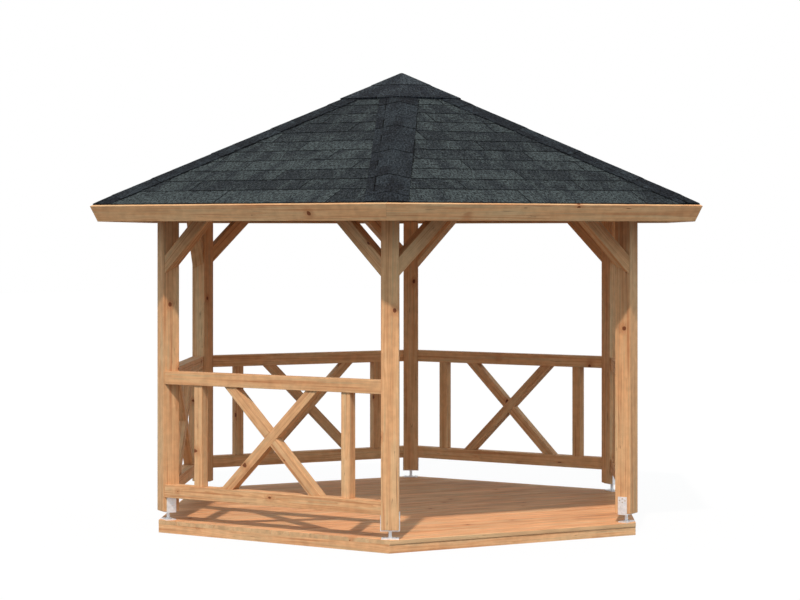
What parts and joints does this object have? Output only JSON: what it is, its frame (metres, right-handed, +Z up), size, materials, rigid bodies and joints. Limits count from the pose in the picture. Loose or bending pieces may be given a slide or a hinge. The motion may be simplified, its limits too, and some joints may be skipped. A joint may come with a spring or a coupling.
{
  "type": "garden gazebo",
  "caption": "Hexagonal open timber gazebo on a low deck, with cross-braced railings, knee braces and a shingled pyramid roof.",
  "frame": {"origin": "on the ground under the middle of the hexagonal floor", "axes": "+Z up, the open entrance side faces -Y, +X to the right of someone walking in"},
  "size_m": [4.948, 4.285, 3.3455],
  "materials": {
    "wood": "planed softwood, light brown pressure impregnated",
    "deck_wood": "planed deck boards, light brown pressure impregnated",
    "shingle": "granule coated bitumen shingle, anthracite",
    "zinc": "hot dip galvanised"
  },
  "bodies": {
    "root": {"deck_floor": "deck_wood", "deck_rim": "deck_wood", "deck_joists": "deck_wood", "post_feet": "zinc", "post_front_left": "wood", "post_front_right": "wood", "post_right": "wood", "post_back_right": "wood", "post_back_left": "wood", "post_left": "wood", "top_rails": "wood", "bottom_rails": "wood", "railing_balusters": "wood", "railing_rising_diagonals": "wood", "railing_falling_diagonals": "wood", "knee_braces": "wood", "beam_front": "wood", "beam_front_right": "wood", "beam_back_right": "wood", "beam_back": "wood", "beam_back_left": "wood", "beam_front_left": "wood", "hip_rafters": "wood", "common_rafters": "wood", "roof_hub": "wood", "roof_boards_front": "wood", "roof_boards_front_right": "wood", "roof_boards_back_right": "wood", "roof_boards_back": "wood", "roof_boards_back_left": "wood", "roof_boards_front_left": "wood", "fascia_front": "wood", "fascia_front_right": "wood", "fascia_back_right": "wood", "fascia_back": "wood", "fascia_back_left": "wood", "fascia_front_left": "wood", "shingles_front": "shingle", "shingles_front_right": "shingle", "shingles_back_right": "shingle", "shingles_back": "shingle", "shingles_back_left": "shingle", "shingles_front_left": "shingle", "hip_caps": "shingle", "apex_cap": "shingle"}
  },
  "joints": []
}
